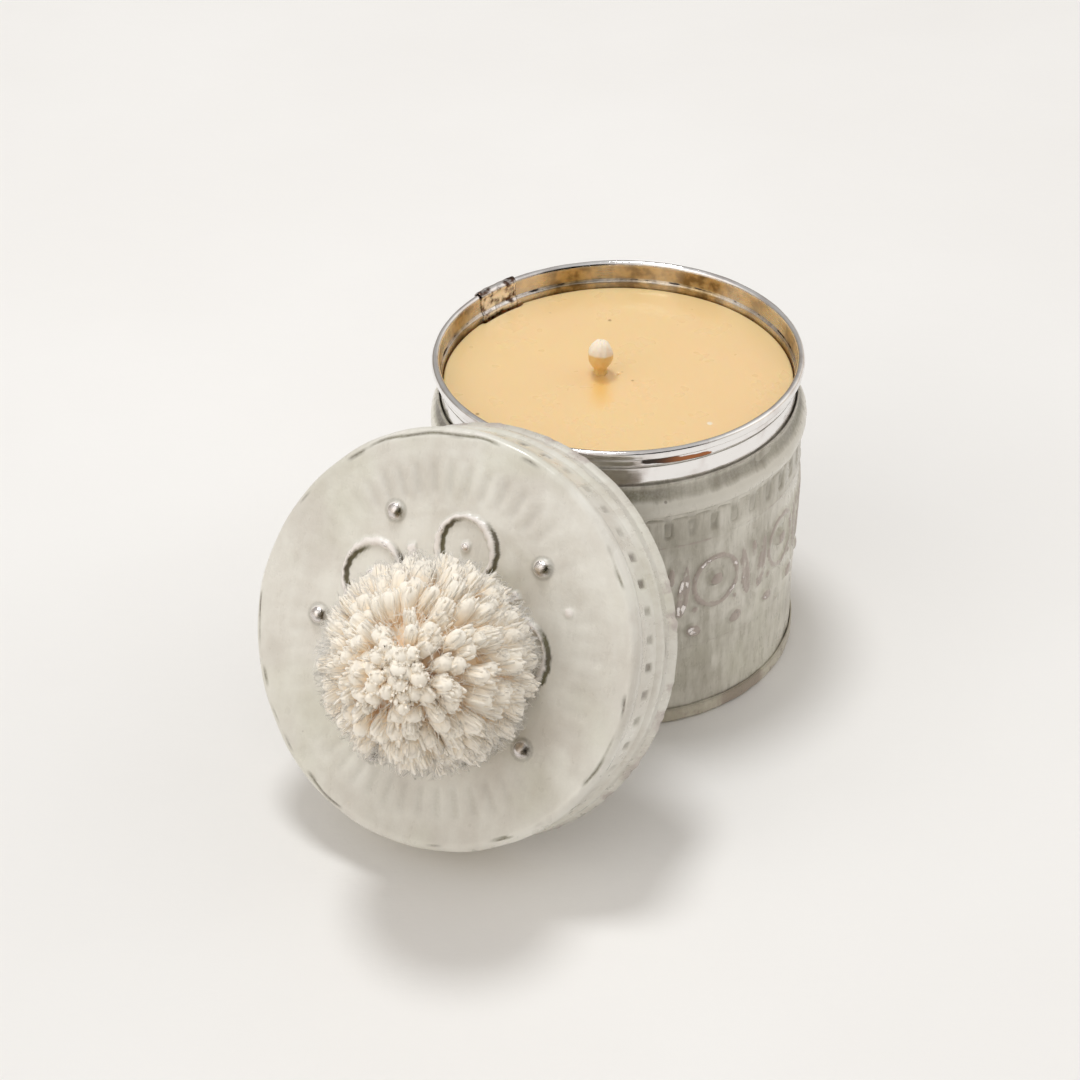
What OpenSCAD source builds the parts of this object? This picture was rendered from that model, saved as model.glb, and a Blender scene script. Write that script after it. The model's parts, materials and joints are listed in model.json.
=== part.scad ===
// Candle tin: an embossed, painted tinplate pot with a poured candle, and its pom-pom lid,
// which stands beside the pot and leans on its rolled hem.
// Millimetres, +Z up. The origin is the centre of the pot's base, on the table.

/* [Pot] */
// Height of the pot from the table to the top of its rolled hem
tin_h = 57.7; // [56:0.1:60]
// Outside radius of the rolled hem
rim_r = 32.0; // [31.9:0.1:32.2]
// Outside radius of the embossed body at the table
body_base_r = 31.6; // [31.4:0.1:31.8]
// Outside radius of the embossed body under the shoulder bead
body_top_r = 32.0; // [31.8:0.1:32.1]
// Height of the groove under the shoulder bead
bead_low_z = 44.2; // [43.5:0.1:45]
// Outside radius of the shoulder bead, which the closed lid sits on
bead_r = 32.8; // [32.6:0.1:33]
// Height at which the painted body ends and the bare collar starts
collar_line_z = 50.2; // [49.8:0.1:50.8]
// Thickness of the tinplate
sheet_t = 0.4; // [0.3:0.05:0.5]
// Height of the base pan's upturned flange
flange_h = 3.1; // [2.5:0.1:4]

/* [Embossing on the pot] */
// Number of upright dents in the row under the shoulder bead
dent_count = 48; // [36:1:52]
// Height of the middle of the dent row
dent_z = 41.4; // [41:0.1:41.8]
// Height of one dent
dent_h = 3.8; // [3:0.1:4.4]
// Number of flower motifs around the frieze
motif_count = 12; // [8:1:14]
// Height of the flower bosses
boss_z = 29.3; // [26:0.1:32]
// Height of the row of small bosses under the flowers
dot_z = 19.5; // [17:0.1:21]

/* [Candle] */
// Height of the wax surface
wax_z = 52.8; // [51.5:0.1:53.5]
// Radius of the wax surface inside the collar
wax_r = 30.2; // [29.5:0.1:30.2]
// Sideways place of the wick
wick_x = -3.0; // [-4:0.5:4]
// Forward place of the wick
wick_y = -0.5; // [-4:0.5:4]
// Radius of the wick
wick_r = 1.15; // [0.9:0.05:1.3]
// Widest radius of the wick's wax-dipped tip
tip_r = 2.15; // [1.6:0.05:2.4]
// Height of the top of the wick
wick_top_z = 59.9; // [59:0.1:61]

/* [Lid] */
// Depth of the lid from its face to its open edge
lid_h = 16.4; // [15.5:0.1:17]
// Outside radius of the lid's face
lid_r = 33.8; // [33.6:0.1:34]
// Outside radius of the lid's open edge
lid_edge_r = 34.3; // [34.2:0.1:34.5]
// Inside radius of the hem at the lid's open edge
lid_hem_in_r = 32.4; // [32.3:0.1:32.6]
// Radius of the circle of domed bosses on the lid
lid_boss_ring_r = 21.8; // [20:0.1:23]
// Number of small dents around the lid's skirt
skirt_dent_count = 48; // [36:1:52]

/* [Lid at rest] */
// Angle of the lid's axis above the table
lid_lean = 29.5; // [29:0.1:29.6]
// Direction that the lid's face looks in, from +X towards +Y
lid_bearing = -115.8; // [-118:0.1:-114]
// Distance from the pot's axis to the middle of the lid's open edge
lid_reach = 48.5; // [48.5:0.1:50]
// Direction of the middle of the lid's open edge, seen from the pot's axis
lid_side = -117.7; // [-119:0.1:-116]

/* [Pom-pom] */
// Radius of the pom-pom
pompom_r = 17.3; // [15:0.1:18]
// Height of the pom-pom's middle above the lid's face
pompom_z = 11.5; // [10:0.1:13]
// Sideways sag of the pom-pom on the lid
pompom_sag = 4.5; // [0:0.5:5]

/* [Hidden] */
$fn = 96;

paint = [0.77, 0.77, 0.72];
bare_tin = [0.80, 0.79, 0.78];
wax_yellow = [0.94, 0.83, 0.62];
wool = [0.93, 0.88, 0.80];

fit_gap = 0.05;                      // between sheets that are soldered or pressed together
loose_gap = 0.2;                     // between the wax and the tinplate around it
round_r = 0.7;                       // soft corner of the base pan

hem_t = 1.2;                         // width of the collar's hem across the sheet
hem_h = 1.8;                         // height of the collar's hem
ledge_z = tin_h - 3.5;               // the collar steps out by one sheet above this height
collar_in_r = rim_r - hem_t;         // inside of the collar above the step
collar_foot_z = bead_low_z + 1.7;     // lower edge of the collar, inside the body
lap_start = 127;                     // the collar's lap seam, as angles from +X
lap_end = 142.5;
lap_hem_r = 0.85;                    // the open roll of hem over the lap
lap_margin = 0.5;                    // the wax stands this many degrees clear of the lap
meniscus = 0.3;                      // worn edge of the wax surface

bead_mid_z = bead_low_z + 1.8;       // middle of the shoulder bead
bead_half = bead_mid_z - bead_low_z;
cove_r = collar_in_r + fit_gap;      // the body's top edge closes on the collar's lower part

sticker_t = 0.6;
tab_r = 7.5;
tab_t = 0.3;
tab_neck_r = 1.7;
tab_neck_h = 4;
tab_z = sheet_t + sticker_t;
tip_h = 5.7;                         // height of the wick's dipped tip

corner_r = 1.3;                      // round corner of the lid's face
lid_flange_h = 2.2;                  // the face's edge is turned down over the skirt by this much
skirt_r = lid_r - sheet_t - fit_gap; // outside of the skirt under that flange
skirt_bead_z = -10.8;                // middle of the skirt's bead, below the face
skirt_bead_half = 1.7;
skirt_bead_h = 0.5;
skirt_flare_z = -13.1;               // the hem starts here
skirt_dent_z = -6.6;                 // middle of the skirt's dent row
skirt_dent = 1.3;                    // length and height of one dent
lid_boss_angles = [-35, 47, 123, 184, 251]; // the hand-punched bosses aren't quite evenly spaced
lid_hem_round = (lid_edge_r - lid_hem_in_r) / 2;
lid_cord_r = 0.9;                    // radius of the tie that holds the pom-pom
knot_r = 2.2;
binding_z = 9;                       // middle of the pom-pom's binding, above the lid's face
pompom_seat_z = 0.3;                 // underside of the pom-pom

// Height of the middle of the lid's open edge when its hem stands on the table
lid_foot_z = (lid_edge_r - lid_hem_round) * cos(lid_lean) + lid_hem_round;

// Points of an arc in the half plane of a rotate_extrude
function arc(cx, cz, r, from, to, steps = 8) =
    [for (i = [0 : steps]) let (a = from + (to - from) * i / steps) [cx + r * cos(a), cz + r * sin(a)]];

// Radius of the body's outside at a height, below the shoulder bead
function body_r(z) = body_base_r + (body_top_r - body_base_r) * z / bead_low_z;

// Outside of a smooth bump of a given height and half width, as points from low to high
function bump(base_r, z, half, h, steps = 12) =
    [for (i = [0 : steps]) let (a = -90 + 180 * i / steps)
        [base_r + h * pow(cos(a), 2), z + half * sin(a)]];

// A closed skin of a given thickness inside an outline that runs from low to high
module skin(outline, t) {
    inside = [for (i = [len(outline) - 1 : -1 : 0]) [outline[i][0] - t, outline[i][1]]];
    rotate_extrude() polygon(concat(outline, inside));
}

// A flat washer between two heights
module washer(r, hole_r, low, high) {
    difference() {
        translate([0, 0, low]) cylinder(r = r, h = high - low);
        translate([0, 0, low - 1]) cylinder(r = hole_r, h = high - low + 2);
    }
}

// Puts its children at an angle around the pot or the lid, on a circle of a given radius
module around(angle, r, z) {
    rotate([0, 0, angle]) translate([r, 0, z]) children();
}

// The lid's own frame: its face is the plane z = 0 and the open edge is below it
module lid_place() {
    rotate([0, 0, lid_side]) translate([lid_reach, 0, 0])
        rotate([0, 0, lid_bearing - lid_side])
            translate([0, 0, lid_foot_z])
                rotate([0, 90 - lid_lean, 0])
                    translate([0, 0, lid_h - lid_hem_round])
                        rotate([0, 0, 90]) children();
}

// Disc under the pot, with its edge turned up around the foot of the body
module base_pan() {
    out_r = body_base_r + fit_gap + sheet_t;
    color(paint)
    rotate_extrude()
        polygon(concat(
            [[0, 0]],
            arc(out_r - round_r, round_r, round_r, -90, 0),
            [[out_r, flange_h], [out_r - sheet_t, flange_h], [out_r - sheet_t, sheet_t], [0, sheet_t]]));
}

// Rolled and embossed sheet around the pot, from the base pan to the collar line
module body_shell() {
    foot_z = sheet_t + fit_gap;
    outline = concat(
        [[body_r(foot_z), foot_z]],
        bump(body_top_r, bead_mid_z, bead_half, bead_r - body_top_r),
        arc(cove_r + sheet_t + 1, collar_line_z + 0.35, 1, 225, 180, 4));
    boss_r = 2;
    dot_r = 1.6;
    color(paint)
    union() {
        difference() {
            skin(outline, sheet_t);
            for (i = [0 : dent_count - 1])
                around(i * 360 / dent_count, body_r(dent_z) + 0.8, dent_z)
                    cube([2, 1.7, dent_h], center = true);
        }
        difference() {
            for (i = [0 : motif_count - 1]) {
                around((i + 0.04) * 360 / motif_count, body_r(boss_z) - boss_r + 0.6, boss_z)
                    sphere(r = boss_r, $fn = 32);
                for (side = [-1, 1])
                    around((i + 0.04 + side * 0.25) * 360 / motif_count, body_r(dot_z) - dot_r + 0.4, dot_z)
                        sphere(r = dot_r, $fn = 32);
            }
            translate([0, 0, foot_z])
                cylinder(r1 = body_base_r - sheet_t / 2, r2 = body_top_r - sheet_t / 2, h = bead_low_z);
        }
    }
}

// Bare polished strip inside the body's top, with a step, a rolled hem and a lap seam
module neck_collar() {
    low_r = collar_in_r - sheet_t;
    hem_z = tin_h - hem_t / 2;
    wall = concat(
        [[low_r, collar_foot_z], [collar_in_r, collar_foot_z]],
        [[collar_in_r, ledge_z - sheet_t], [collar_in_r + sheet_t, ledge_z]],
        [[collar_in_r + sheet_t, tin_h - hem_h]],
        arc(rim_r - hem_t / 2, tin_h - hem_h + hem_t / 2, hem_t / 2, -90, 0),
        arc(rim_r - hem_t / 2, hem_z, hem_t / 2, 0, 180, 16),
        [[collar_in_r, ledge_z], [low_r, ledge_z - sheet_t]]);
    color(bare_tin)
    union() {
        rotate_extrude() polygon(wall);
        rotate([0, 0, lap_start]) rotate_extrude(angle = lap_end - lap_start)
            polygon([[low_r - sheet_t, collar_foot_z], [low_r + sheet_t / 2, collar_foot_z],
                     [low_r + sheet_t / 2, ledge_z - sheet_t], [collar_in_r + sheet_t / 2, ledge_z],
                     [collar_in_r + sheet_t / 2, hem_z], [collar_in_r - sheet_t, hem_z],
                     [collar_in_r - sheet_t, ledge_z], [low_r - sheet_t, ledge_z - sheet_t]]);
        rotate([0, 0, lap_start]) rotate_extrude(angle = lap_end - lap_start)
            translate([rim_r - hem_t / 2, hem_z - 0.1]) circle(r = lap_hem_r, $fn = 32);
    }
}

// Poured candle: full width inside the body, narrower inside the collar
module wax_fill() {
    low_z = sheet_t + fit_gap;
    step_z = collar_foot_z - loose_gap;
    wide_r = body_base_r - sheet_t - loose_gap;
    color(wax_yellow)
    difference() {
        rotate_extrude()
            polygon([[0, low_z], [wide_r, low_z], [wide_r, step_z], [wax_r, step_z],
                     [wax_r, wax_z - meniscus], [wax_r - meniscus, wax_z], [0, wax_z]]);
        rotate([0, 0, lap_start - lap_margin]) rotate_extrude(angle = lap_end - lap_start + 2 * lap_margin)
            translate([collar_in_r - 2 * sheet_t - loose_gap, step_z]) square([1, tin_h - step_z]);
        translate([wick_x, wick_y, 0]) cylinder(r = wick_r + fit_gap, h = tin_h);
        translate([wick_x, wick_y, 0]) cylinder(r = tab_r + fit_gap, h = tab_z + tab_t + fit_gap);
        translate([wick_x, wick_y, 0])
            cylinder(r = tab_neck_r + fit_gap, h = tab_z + tab_t + tab_neck_h + fit_gap);
    }
}

// Braided wick with a tip that was dipped in wax
module wick() {
    tip_mid_z = wick_top_z - tip_h / 2;
    tip = [for (i = [0 : 16]) let (a = -60 + 150 * i / 16)
        [tip_r * cos(a), tip_mid_z + tip_h / 2 * sin(a)]];
    color(wool)
    translate([wick_x, wick_y, 0])
        rotate_extrude()
            polygon(concat([[0, tab_z], [wick_r, tab_z], [wick_r, tip[0][1] - 0.4]], tip,
                           [[0, wick_top_z]]));
}

// Pressed steel tab that holds the wick upright on the base
module wick_tab() {
    color("silver")
    translate([wick_x, wick_y, 0])
        union() {
            washer(tab_r, wick_r + fit_gap, tab_z, tab_z + tab_t);
            washer(tab_neck_r, wick_r + fit_gap, tab_z + tab_t / 2, tab_z + tab_t + tab_neck_h);
        }
}

// Adhesive disc between the tab and the base pan
module wick_sticker() {
    color("white")
    translate([wick_x, wick_y, sheet_t]) cylinder(r = tab_r, h = sticker_t);
}

// Embossed disc of the lid, with its edge turned down over the skirt
module lid_top() {
    in_r = lid_r - sheet_t;
    dome_r = 1.9;
    dome_h = 1.1;
    color(paint)
    lid_place()
        difference() {
            union() {
                rotate_extrude()
                    polygon(concat(
                        [[0, -sheet_t], [in_r - corner_r, -sheet_t]],
                        arc(in_r - corner_r, -sheet_t - corner_r, corner_r, 90, 0),
                        [[in_r, -lid_flange_h], [lid_r, -lid_flange_h]],
                        arc(lid_r - corner_r, -corner_r, corner_r, 0, 90),
                        [[0, 0]]));
                difference() {
                    for (angle = lid_boss_angles)
                        around(angle, lid_boss_ring_r, dome_h - dome_r)
                            sphere(r = dome_r, $fn = 32);
                    translate([0, 0, -5 - sheet_t / 2]) cylinder(r = lid_r, h = 5);
                }
            }
            translate([0, 0, -5]) cylinder(r = lid_cord_r + fit_gap, h = 10);
        }
}

// Strip around the lid with a row of dents, a bead and a hem at its open edge
module lid_skirt() {
    hem_mid_r = lid_edge_r - lid_hem_round;
    hem_mid_z = -lid_h + lid_hem_round;
    top_z = -sheet_t - corner_r - fit_gap;
    outline = concat(
        arc(hem_mid_r, hem_mid_z, lid_hem_round, 120, 360, 16),
        [[skirt_r, skirt_flare_z]],
        bump(skirt_r, skirt_bead_z, skirt_bead_half, skirt_bead_h),
        [[skirt_r, top_z], [skirt_r - sheet_t, top_z]]);
    color(paint)
    lid_place()
        difference() {
            rotate_extrude() polygon(outline);
            for (i = [0 : skirt_dent_count - 1])
                around(i * 360 / skirt_dent_count, skirt_r + 0.3, skirt_dent_z)
                    cube([1, skirt_dent, skirt_dent], center = true);
        }
}

// Ball of cut wool yarn, flat where it lies on the lid
module pompom() {
    color(wool)
    lid_place()
        difference() {
            translate([pompom_sag, -pompom_sag / 4, pompom_z]) sphere(r = pompom_r);
            translate([-40, -40, -20 + pompom_seat_z]) cube([80, 80, 20]);
            cylinder(r = lid_cord_r + 2 * fit_gap, h = binding_z);
            translate([0, 0, binding_z]) sphere(r = knot_r + 2 * fit_gap, $fn = 32);
        }
}

// Yarn that binds the pom-pom, goes through the lid and ends in a knot under it
module pompom_tie() {
    color(wool)
    lid_place()
        union() {
            translate([0, 0, -sheet_t - knot_r]) cylinder(r = lid_cord_r, h = binding_z + knot_r);
            translate([0, 0, -sheet_t - knot_r - fit_gap]) sphere(r = knot_r, $fn = 32);
            translate([0, 0, binding_z]) sphere(r = knot_r, $fn = 32);
        }
}

base_pan();
body_shell();
neck_collar();
wax_fill();
wick();
wick_tab();
wick_sticker();
lid_top();
lid_skirt();
pompom();
pompom_tie();
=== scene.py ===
"""Looks of the candle tin: an embossed, painted pot with a poured candle, and its pom-pom lid.

Shapes are worked out in millimetres and turned into meshes in metres. The pot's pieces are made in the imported
model's frame. The lid's pieces are made with its face as the plane z = 0, and LID_PLACE puts them in place.
"""
import json
import math

import bpy
import numpy as np
from mathutils import Matrix, Vector


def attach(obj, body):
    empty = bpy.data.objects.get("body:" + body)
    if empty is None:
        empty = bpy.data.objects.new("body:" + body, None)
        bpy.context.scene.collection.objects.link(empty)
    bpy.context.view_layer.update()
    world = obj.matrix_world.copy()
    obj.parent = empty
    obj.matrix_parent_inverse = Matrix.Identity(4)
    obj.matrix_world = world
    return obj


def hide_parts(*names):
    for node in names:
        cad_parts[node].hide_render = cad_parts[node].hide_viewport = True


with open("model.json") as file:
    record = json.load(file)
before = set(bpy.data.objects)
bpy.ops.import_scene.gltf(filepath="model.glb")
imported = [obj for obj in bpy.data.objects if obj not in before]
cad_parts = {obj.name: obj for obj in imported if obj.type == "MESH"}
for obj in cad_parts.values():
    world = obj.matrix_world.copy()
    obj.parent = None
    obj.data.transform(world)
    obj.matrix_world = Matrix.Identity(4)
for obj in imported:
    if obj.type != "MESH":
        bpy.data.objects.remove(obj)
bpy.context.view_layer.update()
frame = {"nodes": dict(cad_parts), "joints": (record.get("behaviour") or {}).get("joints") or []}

MM = 0.001

# ------------ sizes, in millimetres, as the CAD model has them
SHEET_T = 0.4
FIT_GAP = 0.05
LOOSE_GAP = 0.2  # around the wax
POT_STEPS = 640  # columns of the mesh around the embossed body
LID_STEPS = 640  # columns of the mesh around the lid

TIN_H = 57.7
RIM_R = 32.0
HEM_T = 1.2
HEM_H = 1.8
COLLAR_IN_R = RIM_R - HEM_T
COLLAR_FOOT_Z = 45.9
LEDGE_Z = TIN_H - 3.5
LAP_START = 127.0  # the collar's lap, as angles from +X
LAP_END = 142.5
LAP_HEM_R = 0.95
GROOVE_ZS = (55.2, 52.4)  # fine grooves around the collar
REFLECTION_STREAK_ANGLE = -72.0  # middle of the dark streak on the collar's front, a painted reflection of the lid's inside
REFLECTION_STREAK_Z = 55.0
BODY_BASE_R = 31.6
BODY_TOP_R = 32.0
BEAD_LOW_Z = 44.2  # groove under the shoulder bead
BEAD_MID_Z = 46.0
BEAD_H = 0.8
COVE_Z = 49.0
COLLAR_LINE_Z = 50.2
FLANGE_H = 3.1
DENTS = 48  # around the body, and around the lid's skirt
DENT_Z = 41.4
MOTIFS = 12  # flowers around the frieze
MOTIF_SHIFT = 0.04  # of the angle between two motifs
BOSS_Z = 29.3
DOT_Z = 19.5
BORDER_LOW_Z = 16.2
BORDER_HIGH_Z = 38.1
WAX_Z = 52.8
WAX_R = 30.2
WICK = np.array([-3.0, -0.5])
WICK_R = 1.15
WICK_TOP_Z = 59.9
TIP_R = 2.15
TIP_H = 5.7

LID_H = 16.4
LID_R = 33.8
LID_EDGE_R = 34.3
LID_HEM_IN_R = 32.4
LID_CORNER_R = 1.3
LID_FLANGE_H = 2.2
LID_HOLE_R = 0.95
SKIRT_R = LID_R - SHEET_T - FIT_GAP
SKIRT_DENT_Z = -6.6
SKIRT_BEAD_Z = -10.8
SKIRT_BEAD_HALF = 1.7
SKIRT_BEAD_H = 0.5
SKIRT_FLARE_Z = -13.1  # the hem starts here
LID_BOSS_RING_R = 21.8
LID_BOSS_ANGLES = (-35, 47, 123, 184, 251)
# Angle and radius of the middle of each C-shaped petal, and its own radius
PETALS = ((85, 15.5, 5.0), (152, 15.4, 5.3), (7.5, 13.7, 5.1), (292, 13.8, 5.3), (220, 14.0, 5.3))
BUMPS = ((26.5, 23.0), (206, 17.7))  # angle and radius of small chipped bumps
FLUTES = 54  # soft radial flutes near the lid's edge

POMPOM_R = 17.3
POMPOM_CENTRE = np.array([4.5, -1.125, 11.5])
HEART_R = 12.4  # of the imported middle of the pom-pom
TUFTS = 360
CENTRE_TUFTS = 30  # of those, crowded at the front
STRANDS = 14  # of yarn around the core of each tuft
CORE_SIDES = 8
STRAND_SIDES = 3
TUFT_T = np.array([0.40, 0.62, 0.80, 0.92, 0.98, 1.0])  # places along a tuft, out from the ball's middle
CORE_R = (0.50, 0.80, 1.00, 0.95, 0.65, 0.25)  # at those places
STRAND_SPREAD = (0.55, 0.75, 0.95, 1.0, 1.0, 0.95)
STRAND_R = (0.32, 0.38, 0.40, 0.37, 0.30, 0.14)
FIBRES = 7000
FIBRE_RINGS = 5

# ------------ paint colours: light, dark, and where it is worn thin
POT_PAINT = ((0.77, 0.74, 0.66), (0.46, 0.43, 0.355), (0.45, 0.37, 0.33))
PAN_PAINT = ((0.68, 0.64, 0.53), (0.50, 0.46, 0.36), (0.45, 0.36, 0.30))
LID_PAINT = ((0.80, 0.78, 0.715), (0.67, 0.635, 0.57), (0.91, 0.85, 0.81))
SKIRT_PAINT = ((0.80, 0.78, 0.71), (0.66, 0.62, 0.545), (0.56, 0.49, 0.45))


# ------------ small maths
def smooth(low, high, x):
    """0 below low, 1 above high, and a smooth step between them."""
    t = np.clip((x - low) / (high - low), 0, 1)
    return t * t * (3 - 2 * t)


def plateau(x, half, soft):
    """1 within half of zero, 0 beyond half + soft."""
    return 1 - smooth(half, half + soft, np.abs(x))


def dome(x, y, r, h):
    """Height of a round boss."""
    return h * np.sqrt(np.clip(1 - (x * x + y * y) / (r * r), 0, 1))


def ridge(distance, half, h):
    """Height of a rounded ridge along a line."""
    return h * np.clip(1 - (distance / half) ** 2, 0, 1)


def turned(x, y, degrees):
    """x and y in axes that are turned by an angle."""
    a = math.radians(degrees)
    return x * math.cos(a) + y * math.sin(a), y * math.cos(a) - x * math.sin(a)


def repeat(angle, count, shift, r):
    """Distance along the circle from the nearest of count evenly spaced places, in millimetres."""
    step = math.tau / count
    return ((angle / step - shift + 0.5) % 1 - 0.5) * step * r


def waves(angle, height, seed, turns, size):
    """Gentle unevenness around a pot: a sum of waves that closes on itself."""
    rng = np.random.default_rng(seed)
    total = np.zeros(np.broadcast(angle, height).shape)
    for turn in turns:
        phase, tilt = rng.uniform(0, math.tau), rng.uniform(-0.25, 0.25)
        total += np.sin(turn * angle + phase + tilt * height) / math.sqrt(len(turns))
    return size * total


def arc(cx, cz, r, start, end, steps):
    """Points of an arc, angles in degrees."""
    a = np.radians(np.linspace(start, end, steps + 1))
    return np.stack([cx + r * np.cos(a), cz + r * np.sin(a)], 1)


def line(start, end, step):
    """Points along a straight stretch, without its last one."""
    start, end = np.array(start, float), np.array(end, float)
    count = max(1, round(np.linalg.norm(end - start) / step))
    return start + (end - start) * np.arange(count)[:, None] / count


# ------------ meshes
def make_object(name, material, points, faces, fields=None, place=None):
    """A mesh object from points in millimetres, with its fields as attributes of the points."""
    mesh = bpy.data.meshes.new(name)
    mesh.materials.append(material)
    mesh.from_pydata((np.asarray(points) * MM).tolist(), [], faces)
    mesh.shade_smooth()
    for field, values in (fields or {}).items():
        vector = values.ndim == 2
        attribute = mesh.attributes.new(field, "FLOAT_VECTOR" if vector else "FLOAT", "POINT")
        attribute.data.foreach_set("vector" if vector else "value", values.astype(np.float32).ravel())
    if place is not None:
        mesh.transform(place)
    obj = bpy.data.objects.new(name, mesh)
    bpy.context.scene.collection.objects.link(obj)
    return obj


def grid_faces(rows, columns, close_rows, close_columns=True):
    """Faces of a grid of points whose rows run along an outline and whose columns run around."""
    i, j = np.meshgrid(np.arange(rows if close_rows else rows - 1),
                       np.arange(columns if close_columns else columns - 1), indexing="ij")
    next_i, next_j = (i + 1) % rows, (j + 1) % columns
    corners = [i * columns + j, i * columns + next_j, next_i * columns + next_j, next_i * columns + j]
    return np.stack([c.ravel() for c in corners], 1)


def outline_normals(outline, closed):
    """Outward directions along an outline that runs up the outside and then inwards."""
    if closed:
        along = np.roll(outline, -1, 0) - np.roll(outline, 1, 0)
    else:
        along = np.gradient(outline, axis=0)
    along /= np.linalg.norm(along, axis=1)[:, None]
    return np.stack([along[:, 1], -along[:, 0]], 1)


def thicken(outer, thickness, every):
    """A closed outline: the outer points, then every so many of them again, one sheet further in."""
    inner = outer - outline_normals(outer, False) * thickness
    keep = sorted(set(range(0, len(outer), every)) | {len(outer) - 1}, reverse=True)
    return np.concatenate([outer, inner[keep]])


def revolve(name, material, outline, steps, relief=None, closed=True, place=None, span=None):
    """A turned piece, whole or over a span of degrees. relief gives its height along the normal and its
    fields, from angle, r and z. A closed outline ends where it starts."""
    if span is None:
        angles = np.arange(steps) * math.tau / steps
    else:
        angles = np.radians(np.linspace(*span, steps))
    angle, r = np.broadcast_arrays(angles[None, :], outline[:, :1])
    z = np.broadcast_to(outline[:, 1:], r.shape)
    normal = outline_normals(outline, closed)
    height, fields = (0, {}) if relief is None else relief(angle, r, z)
    r = r + normal[:, :1] * height
    z = z + normal[:, 1:] * height
    points = np.stack([r * np.cos(angle), r * np.sin(angle), z], -1).reshape(-1, 3)
    faces = grid_faces(len(outline), steps, closed, span is None).tolist()
    if span is not None:
        rows = np.arange(len(outline)) * steps
        faces += [rows.tolist(), (rows[::-1] + steps - 1).tolist()]
    flat = {k: (v.reshape(-1, 3) if v.ndim == 3 else np.broadcast_to(v, angle.shape).ravel())
            for k, v in fields.items()}
    return make_object(name, material, points, faces, flat, place)


def tubes(paths, radii, sides):
    """Points and faces of one closed tube along each path. paths is tube by ring by 3, radii tube by ring."""
    count, rings, _ = paths.shape
    tangent = np.gradient(paths, axis=1)
    tangent /= np.linalg.norm(tangent, axis=2, keepdims=True)
    across = np.cross(tangent, [0.36, 0.48, 0.8])
    across /= np.linalg.norm(across, axis=2, keepdims=True)
    other = np.cross(tangent, across)
    turn = math.tau * np.arange(sides) / sides
    ring = across[:, :, None] * np.cos(turn)[:, None] + other[:, :, None] * np.sin(turn)[:, None]
    points = paths[:, :, None] + radii[:, :, None, None] * ring
    first = (np.arange(count) * rings * sides)[:, None, None]
    wall = (grid_faces(rings, sides, False)[None] + first).reshape(-1, 4)
    caps = np.stack([np.arange(sides)[::-1], (rings - 1) * sides + np.arange(sides)])
    caps = (caps[None] + first).reshape(-1, sides)
    return points.reshape(-1, 3), wall.tolist() + caps.tolist()


def join(parts):
    """Points and faces of several parts as one."""
    points, faces, first = [], [], 0
    for part_points, part_faces in parts:
        points.append(part_points)
        faces += [[corner + first for corner in face] for face in part_faces]
        first += len(part_points)
    return np.concatenate(points), faces


def lid_frame():
    """The lid's own frame, as a turn and a middle: its axis is the joint's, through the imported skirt."""
    axis = Vector(frame["joints"][0]["axis"]).normalized()
    u = Vector((0, 0, 1)).cross(axis).normalized()
    v = axis.cross(u)
    points = np.array([p.co for p in frame["nodes"]["lid_skirt"].data.vertices])
    middle = Vector((0, 0, 0))
    for direction in (u, v):
        along = points @ np.array(direction)
        middle += direction * (along.min() + along.max()) / 2
    middle += axis * ((points @ np.array(axis)).min() + LID_H * MM)
    return Matrix((u, v, axis)).transposed().to_4x4(), middle


lid_turn, lid_middle = lid_frame()
LID_PLACE = Matrix.Translation(lid_middle) @ lid_turn


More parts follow.
